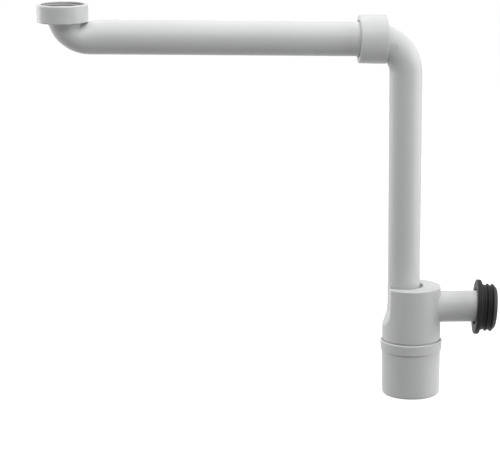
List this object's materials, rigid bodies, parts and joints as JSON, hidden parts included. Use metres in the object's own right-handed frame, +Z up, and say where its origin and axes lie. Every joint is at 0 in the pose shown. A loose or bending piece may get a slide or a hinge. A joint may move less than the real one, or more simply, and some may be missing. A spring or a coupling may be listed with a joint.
{
  "type": "space saving sink trap",
  "caption": "Offset waste trap: a long arm from the basin waste, a drop pipe by the wall and a short bottle trap with a side outlet.",
  "frame": {"origin": "centre of the inlet nut's mouth, at its top face", "axes": "+Z up, out of the inlet; +X along the arm from the inlet to the drop pipe and the outlet"},
  "size_m": [0.4506, 0.0613, 0.395],
  "materials": {
    "nut_plastic": "satin moulded",
    "pipe_plastic": "satin moulded",
    "body_plastic": "satin moulded",
    "cup_plastic": "satin moulded",
    "ring_plastic": "plain moulded",
    "black_rubber": "matt",
    "sleeve_rubber": "satin"
  },
  "bodies": {
    "trap": {"trap_body": "body_plastic", "outlet_sleeve": "sleeve_rubber"},
    "socket_ring": {"socket_seal": "black_rubber"},
    "drop": {"drop_pipe": "pipe_plastic"},
    "arm_ring": {"coupling_seal": "black_rubber"},
    "arm": {"inlet_pipe": "pipe_plastic", "inlet_gasket": "black_rubber"},
    "slip_ring": {"coupling_slip_ring": "ring_plastic"},
    "coupling": {"coupling_nut": "nut_plastic"},
    "inlet_union": {"inlet_nut": "nut_plastic"},
    "cup_ring": {"cup_seal": "black_rubber"},
    "bottom_cup": {"cup": "cup_plastic"}
  },
  "joints": [
    {"name": "drop_swivel", "type": "hinge", "parent": "trap", "child": "socket_ring", "pos_m": [0.332, 0, -0.28483], "axis": [0, 0, 1], "continuous": true},
    {"name": "drop_lift", "type": "slide", "parent": "socket_ring", "child": "drop", "axis": [0, 0, 1], "range_m": [0, 0.015]},
    {"name": "arm_roll", "type": "hinge", "parent": "drop", "child": "arm_ring", "pos_m": [0.29101, 0, -0.0381], "axis": [-0.9997, 0, 0.0227], "continuous": true},
    {"name": "arm_pull", "type": "slide", "parent": "arm_ring", "child": "arm", "axis": [-0.9997, 0, 0.0227], "range_m": [0, 0.008]},
    {"name": "inlet_nut_spin", "type": "hinge", "parent": "arm", "child": "inlet_union", "pos_m": [0, 0, 0], "axis": [0, 0, 1], "continuous": true},
    {"name": "slip_ring_slide", "type": "slide", "parent": "drop", "child": "slip_ring", "axis": [-0.9997, 0, 0.0227], "range_m": [0, 0.009]},
    {"name": "coupling_nut_turn", "type": "hinge", "parent": "slip_ring", "child": "coupling", "pos_m": [0.28591, 0, -0.03799], "axis": [-0.9997, 0, 0.0227], "range_deg": [0, 1080]},
    {"name": "cup_lower", "type": "slide", "parent": "trap", "child": "cup_ring", "axis": [0, 0, -1], "range_m": [0, 0.009]},
    {"name": "cup_turn", "type": "hinge", "parent": "cup_ring", "child": "bottom_cup", "pos_m": [0.33917, -0.00398, -0.34533], "axis": [0, 0, -1], "range_deg": [0, 1080]}
  ],
  "couplings": [
    {"joint": "slip_ring_slide", "follows": "coupling_nut_turn", "m_per_rad": 0.00047746},
    {"joint": "cup_lower", "follows": "cup_turn", "m_per_rad": 0.00047746}
  ]
}
